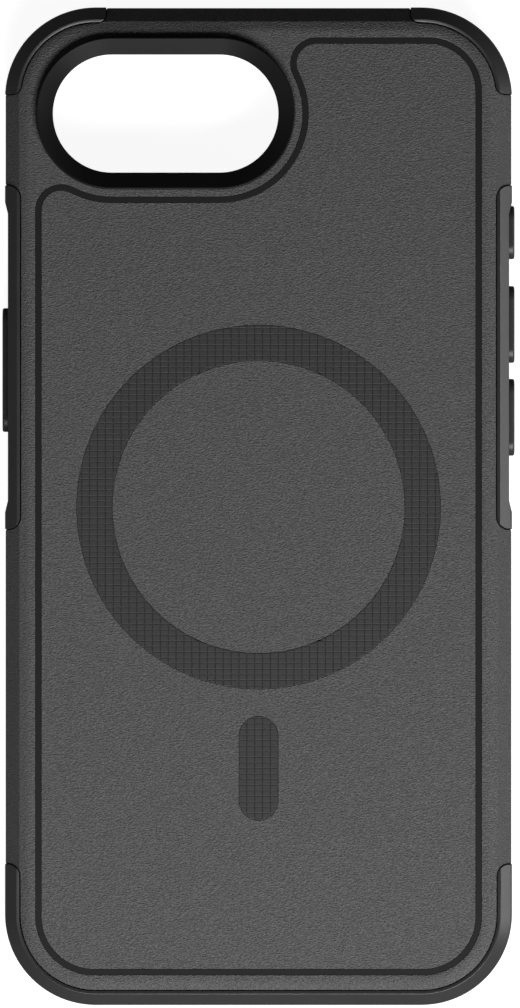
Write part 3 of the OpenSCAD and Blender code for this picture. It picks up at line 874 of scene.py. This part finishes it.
class CASE_OT_soft_tub(bpy.types.Operator):
    """Soft tub with its lip, back, bumpers, grips, button slots and ports"""

    bl_idname = "phone_case.soft_tub"
    bl_label = "Soft tub"

    def execute(self, context):
        sizes, bumpers, trim = settings().sizes, settings().bumpers, settings().trim
        under = sizes.shell_side + sizes.layer_gap
        top = tub_core_top()
        cavity_z = top - sizes.tub_back
        lip_inset = sizes.cavity_inset + sizes.lip_reach
        section = [
            (sizes.cavity_inset + sizes.cavity_chamfer, cavity_z),
            (sizes.cavity_inset, cavity_z - sizes.cavity_chamfer), (sizes.cavity_inset, sizes.lip_height),
            (lip_inset, sizes.lip_height), (lip_inset, 0), (0, 0), (0, sizes.ledge_height),
            (under, sizes.ledge_height), (under, facet_height(under, under)), (facet_inset(top, under), top)]
        radii = (sizes.inside_round, 0, sizes.lip_soft, sizes.lip_soft, sizes.lip_round,
                 sizes.ledge_round, 0, sizes.ledge_round)
        tub = sweep_case("soft_tub", fillet(section, radii))
        for kind, window in window_prisms(bumpers.gap, -PAST, BACK_Z + PAST):
            inset = getattr(bumpers, kind + "_inset")
            carve(tub, bumper(inset, window), "UNION")
        for side in (1, -1):
            carve(tub, recess_solid(side))
        for button in BUTTONS:
            carve(tub, button_solid("slot", button, trim.slot_fit, (-trim.slot_out, trim.slot_in)))
        span, near, camera_y, bezel_r = camera()
        hole = bezel_r - trim.bezel_wall + trim.opening_margin
        carve(tub, slot_solid("opening", span, [(hole, cavity_z - PAST), (hole, top + PAST)],
                              place=Matrix.Translation((near + span / 2, camera_y, 0))))
        for x, w, h in ((0, trim.port_width, trim.port_height),
                        (trim.sound_x, trim.sound_width, trim.sound_height),
                        (-trim.sound_x, trim.sound_width, trim.sound_height)):
            turn = Matrix.Rotation(-math.pi / 2, 4, "X")
            place = Matrix.Translation((x, -HALF_Y - PAST, button_height())) @ turn
            carve(tub, slot_solid("port", w - h, [(h / 2, 0), (h / 2, trim.port_cut)], place=place))
        round_edges(tub, sizes.edge_round, 2, angle=40)
        shade(tub)
        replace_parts(dress(tub, finish("tub")), "soft_inner")
        return {"FINISHED"}


def tub_core_top():
    """Height of the tub's back under the shell."""
    sizes = settings().sizes
    return BACK_Z - sizes.shell_back - sizes.layer_gap


def button_height():
    """Height of the buttons' middles."""
    low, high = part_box("power_cap")
    return (low.z + high.z) / 2


def bumper(inset, window):
    """A bumper's solid: its section swept round the case, kept inside a window."""
    sizes, bumpers = settings().sizes, settings().bumpers
    edge = inset - bumpers.gap
    crest, reach, foot = edge - bumpers.strip, edge + PAST, HAIR
    crest_z = facet_height(crest, -bumpers.lift)
    fall = bumpers.strip_drop * (reach - crest) / bumpers.strip
    section = [(reach, foot), (-bumpers.proud, foot),
               (-bumpers.proud, facet_height(-bumpers.proud, -bumpers.lift)), (crest, crest_z),
               (reach, crest_z - fall)]
    body = sweep_case("bumper", fillet(section, (sizes.lip_round, sizes.facet_round, bumpers.crest_round)))
    carve(body, window, "INTERSECT")
    round_edges(body, bumpers.edge, 2, angle=35, only=lambda e: max(v.co.z for v in e.verts) > 2 * foot)
    return body


def recess_solid(side):
    """The recess along a side grip."""
    bumpers = settings().bumpers
    top = HALF_Y - bumpers.grip_down - bumpers.recess_start
    bottom = HALF_Y - bumpers.grip_down - bumpers.grip_length + bumpers.recess_start
    inner, far = HALF_X - bumpers.recess_depth, HALF_X + bumpers.proud + PAST
    slope = bumpers.recess_slope
    run = slope * (far - inner) / (bumpers.recess_depth + bumpers.proud)
    outline = [(inner, bottom + slope), (far, bottom + slope - run), (far, top - slope + run),
               (inner, top - slope)]
    return prism("recess", outline if side > 0 else mirrored(outline), -PAST, BACK_Z)


def button_place(button):
    """Turns a solid built along +Z to stand outwards from a button's side of the case."""
    low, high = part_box(button + "_cap")
    side = math.copysign(1, low.x + high.x)
    y, z = (low.y + high.y) / 2, (low.z + high.z) / 2
    outward = Matrix(((0, 0, side, 0), (1, 0, 0, 0), (0, side, 0, 0), (0, 0, 0, 1)))
    return Matrix.Translation((side * HALF_X, y, z)) @ outward, side


def button_size(button):
    """A button's length and height."""
    low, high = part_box(button + "_cap")
    return high.y - low.y, high.z - low.z


def button_solid(name, button, border, insets):
    """A slot-shaped solid of a button's size grown by a border, between two insets."""
    size, height = button_size(button)
    place, _ = button_place(button)
    radius = height / 2 + border
    section = [(radius, -insets[1]), (radius, -insets[0])]
    return slot_solid(name, size - height, section, place=place)


class CASE_OT_camera_bezel(bpy.types.Operator):
    """Raised bezel that slopes down into the camera opening"""

    bl_idname = "phone_case.camera_bezel"
    bl_label = "Camera bezel"

    def execute(self, context):
        trim = settings().trim
        span, near, camera_y, outer = camera()
        low, top = BEZEL_LOW.z, BEZEL_HIGH.z
        neck, inner = outer - trim.bezel_flange, outer - trim.bezel_wall
        flange_z = BACK_Z + HAIR
        section = [(inner, BACK_Z - trim.bezel_inner), (inner, low), (neck, low), (neck, flange_z),
                   (outer, flange_z), (outer, top - trim.bezel_chamfer), (outer - trim.bezel_chamfer, top),
                   (outer - trim.bezel_chamfer - trim.bezel_rim, top), (inner, BACK_Z - trim.bezel_inner)]
        radii = (trim.bezel_foot_round, trim.bezel_foot_round, trim.bezel_neck_round,
                 trim.bezel_flange_round, trim.bezel_top_round, trim.bezel_top_round,
                 trim.bezel_slope_round)
        ring = slot_solid("camera_bezel_ring", span, fillet(section, radii, 4)[1:], ring=True,
                          place=Matrix.Translation((near + span / 2, camera_y, 0)))
        shade(ring, angle=50)
        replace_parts(dress(ring, finish("bezel")), "camera_bezel")
        return {"FINISHED"}


class CASE_OT_contour_line(bpy.types.Operator):
    """Inlaid line that follows the outline and steps round the camera"""

    bl_idname = "phone_case.contour_line"
    bl_label = "Contour line"

    def execute(self, context):
        trim = settings().trim
        half = trim.line_width / 2 - trim.inlay_fit
        low, high, soft = LINE_LOW.z, LINE_HIGH.z, trim.line_soft
        section = [(-half, low), (-half, high - soft), (soft - half, high), (half - soft, high),
                   (half, high - soft), (half, low)]
        bm = bmesh.new()
        loops = []
        for grow, z in section:
            verts = [bm.verts.new((x, y, z)) for x, y in line_outline(grow)]
            loops.append([bm.edges.new(pair) for pair in zip(verts, verts[1:] + verts[:1])])
        for inner, outer in zip(loops, loops[1:] + loops[:1]):
            bmesh.ops.bridge_loops(bm, edges=inner + outer)
        line = finish_mesh(bm, "contour_line")
        shade(line, angle=30)
        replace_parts(dress(line, finish("line")), "contour_inlay")
        return {"FINISHED"}


def gridded(name, mask, low, high, box_low, box_high):
    """A film cut to a mask, with square tiles standing between the lines of a grid."""
    trim = settings().trim
    base = high - trim.grid_depth
    bm = bmesh.new()
    columns = math.ceil((box_high.x - box_low.x) / trim.grid_x / 2) * 2 + 1
    rows = math.ceil((box_high.y - box_low.y) / trim.grid_y / 2) * 2 + 2
    bmesh.ops.create_grid(bm, x_segments=columns, y_segments=rows, size=0.5)
    middle = (box_low + box_high) / 2
    bmesh.ops.scale(bm, vec=(columns * trim.grid_x, rows * trim.grid_y, 1), verts=bm.verts)
    bmesh.ops.translate(bm, vec=(middle.x, middle.y, low), verts=bm.verts)
    grown = bmesh.ops.extrude_face_region(bm, geom=list(bm.faces))["geom"]
    top = [v for v in grown if isinstance(v, bmesh.types.BMVert)]
    bmesh.ops.translate(bm, verts=top, vec=(0, 0, base - low))
    film = carve(finish_mesh(bm, name), mask, "INTERSECT")
    bm = bmesh.new()
    bm.from_mesh(film.data)
    bmesh.ops.remove_doubles(bm, verts=bm.verts, dist=WELD_CUT)
    line = bm.faces.layers.float.new(LINE_LAYER)
    cell = trim.grid_x * trim.grid_y
    tiles = [f for f in bm.faces if f.normal.z > UPRIGHT and f.calc_area() > TILE_SHARE * cell]
    rims = bmesh.ops.inset_individual(bm, faces=tiles, thickness=trim.grid_line, depth=trim.grid_depth,
                                      use_even_offset=True)["faces"]
    # The rims are marked as lines, which the film's material paints with shade.
    for face in rims:
        face[line] = 1.0
    bm.to_mesh(film.data)
    bm.free()
    return film


class CASE_OT_magnet_marks(bpy.types.Operator):
    """Gridded films that mark the magnet ring and its bar"""

    bl_idname = "phone_case.magnet_marks"
    bl_label = "Magnet marks"

    def execute(self, context):
        low, high = RING_LOW.z, RING_HIGH.z
        ring_mask = ring_solid("mask", 0, low - PAST, high + PAST)
        bar_mask = bar_solid("mask", 0, low - PAST, high + PAST)
        ring = gridded("ring_grid", ring_mask, low, high, RING_LOW, RING_HIGH)
        bar = gridded("bar_grid", bar_mask, low, high, BAR_LOW, BAR_HIGH)
        for film, node in ((ring, "ring_mark"), (bar, "bar_mark")):
            shade(film, angle=15)
            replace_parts(dress(film, finish("film")), node)
        return {"FINISHED"}


class CASE_OT_buttons(bpy.types.Operator):
    """Four button caps with the press nubs behind them"""

    bl_idname = "phone_case.buttons"
    bl_label = "Buttons"

    def execute(self, context):
        trim = settings().trim
        for button in BUTTONS:
            low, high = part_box(button + "_cap")
            size, height = button_size(button)
            place, side = button_place(button)
            outer = max(side * low.x, side * high.x) - HALF_X
            inner = HALF_X - min(side * low.x, side * high.x)
            r, soft = height / 2, trim.key_round
            section = [(r - trim.key_foot, -inner), (r, trim.key_foot - inner), (r, outer),
                       (CAP_CORE * r, outer)]
            rings = fillet(section, (0, soft), 6)
            cap = slot_solid(button + "_key", size - height, rings, place=place)
            shade(cap, angle=40)
            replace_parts(dress(cap, finish("keys"), button + "_button"), button + "_cap")
            nub_low, nub_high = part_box(button + "_nub")
            reach = HALF_X - min(side * nub_low.x, side * nub_high.x)
            plateau = inner + HAIR + trim.web_thickness
            nub_r = (nub_high.z - nub_low.z) / 2
            section = [(nub_r, -plateau), (nub_r, -reach), (CAP_CORE * nub_r, -reach)]
            rings = fillet(section, (trim.nub_round,), 4)
            nub = slot_solid(button + "_pip", nub_high.y - nub_low.y - 2 * nub_r, rings, place=place)
            shade(nub, angle=40)
            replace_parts(dress(nub, finish("tub"), button + "_button"), button + "_nub")
        return {"FINISHED"}


class CASE_OT_webs(bpy.types.Operator):
    """Flexible webs that carry the buttons in the tub's slots"""

    bl_idname = "phone_case.webs"
    bl_label = "Button webs"

    def execute(self, context):
        trim = settings().trim
        for button in BUTTONS:
            low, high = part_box(button + "_web")
            nub_low, nub_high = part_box(button + "_nub")
            place, side = button_place(button)
            size, height = button_size(button)
            outer = HALF_X - max(side * low.x, side * high.x)
            rim = outer + trim.web_dome
            r, flat = (high.z - low.z) / 2, (nub_high.z - nub_low.z) / 2 + trim.web_margin
            t = trim.web_thickness
            hem = r - trim.web_hem
            bend = trim.web_round
            section = [(CAP_CORE * flat, -outer - t), (flat, -outer - t), (hem, -rim - t), (r, -rim - t),
                       (r, -rim), (hem, -rim), (flat, -outer), (CAP_CORE * flat, -outer)]
            rings = fillet(section, (bend, bend, 0, 0, bend, bend), 3)
            web = slot_solid(button + "_flexure", size - height, rings, place=place)
            shade(web, angle=50)
            dress(web, finish("tub"), None)
            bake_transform(web)
            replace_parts(web, button + "_web")
        return {"FINISHED"}


class CASE_OT_hidden_parts(bpy.types.Operator):
    """Finishes of the magnets and adhesive between the layers"""

    bl_idname = "phone_case.hidden_parts"
    bl_label = "Magnets and adhesive"

    def execute(self, context):
        for node, name in (("ring_magnets", "magnets"), ("bar_magnet", "magnets"),
                           ("ring_adhesive", "adhesive"), ("bar_adhesive", "adhesive")):
            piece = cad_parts[node]
            piece.data.materials.clear()
            piece.data.materials.append(finish(name))
        return {"FINISHED"}


class CASE_OT_stage(bpy.types.Operator):
    """Pale floor, soft lights and the camera"""

    bl_idname = "phone_case.stage"
    bl_label = "Stage"

    def execute(self, context):
        stage = settings().stage
        bm = bmesh.new()
        bmesh.ops.create_grid(bm, x_segments=8, y_segments=8, size=stage.floor_size / 2)
        floor = finish_mesh(bm, "floor")
        floor.data.materials.append(finish("floor"))
        world = bpy.data.worlds.new("Studio")
        bpy.context.scene.world = world
        world.use_nodes = True
        background = world.node_tree.nodes["Background"]
        background.inputs["Color"].default_value = (1, 1, 1, 1)
        path = world.node_tree.nodes.new("ShaderNodeLightPath")
        strength = add(world.node_tree, "ShaderNodeMapRange")
        strength.inputs["To Min"].default_value = stage.sky
        strength.inputs["To Max"].default_value = stage.backdrop
        link(world.node_tree, path.outputs["Is Camera Ray"], strength.inputs["Value"])
        link(world.node_tree, strength.outputs[0], background.inputs["Strength"])
        for name, place, size, power in LIGHTS:
            data = bpy.data.lights.new(name, "AREA")
            data.shape = "RECTANGLE"
            data.size, data.size_y = size
            data.energy = getattr(stage, power)
            lamp = bpy.data.objects.new(name, data)
            lamp.location = place
            lamp.rotation_euler = (-Vector(place)).to_track_quat("-Z", "Y").to_euler()
            lamp.visible_camera = False
            bpy.context.scene.collection.objects.link(lamp)
        data = bpy.data.cameras.new("camera")
        data.lens = stage.lens
        view = bpy.data.objects.new("camera", data)
        distance = stage.view_height * stage.lens / data.sensor_width
        view.location = (stage.view_side, stage.view_up, distance + facet_height(0, 0))
        data.clip_end = 100.0
        bpy.context.scene.collection.objects.link(view)
        bpy.context.scene.camera = view
        bpy.context.scene.view_settings.view_transform = "Standard"
        return {"FINISHED"}


class CASE_PT_panel(bpy.types.Panel):
    """Settings and pieces of the phone case"""

    bl_idname = "CASE_PT_panel"
    bl_label = "Phone Case"
    bl_space_type = "VIEW_3D"
    bl_region_type = "UI"
    bl_category = "Phone Case"

    def draw(self, context):
        for group in ("sizes", "bumpers", "trim", "colours", "stage"):
            values = getattr(context.scene.phone_case, group)
            box = self.layout.box()
            for name in values.__annotations__:
                box.prop(values, name)
        for operator in OPERATORS:
            self.layout.operator(operator.bl_idname)


GROUPS = (CaseSizes, BumperSizes, TrimSizes, CaseColours, StageSettings, CaseSettings)
OPERATORS = (CASE_OT_stage, CASE_OT_hard_shell, CASE_OT_soft_tub, CASE_OT_camera_bezel, CASE_OT_contour_line,
             CASE_OT_magnet_marks, CASE_OT_buttons, CASE_OT_webs, CASE_OT_hidden_parts)


def register():
    """Adds the classes and the settings."""
    for cls in GROUPS + OPERATORS + (CASE_PT_panel,):
        bpy.utils.register_class(cls)
    bpy.types.Scene.phone_case = PointerProperty(type=CaseSettings)


def unregister():
    """Takes the classes and the settings away."""
    del bpy.types.Scene.phone_case
    for cls in reversed(GROUPS + OPERATORS + (CASE_PT_panel,)):
        bpy.utils.unregister_class(cls)


def main():
    """Builds every piece."""
    register()
    bpy.ops.phone_case.stage()
    bpy.ops.phone_case.hard_shell()
    bpy.ops.phone_case.soft_tub()
    bpy.ops.phone_case.camera_bezel()
    bpy.ops.phone_case.contour_line()
    bpy.ops.phone_case.magnet_marks()
    bpy.ops.phone_case.buttons()
    bpy.ops.phone_case.webs()
    bpy.ops.phone_case.hidden_parts()


if __name__ == "__main__":
    main()
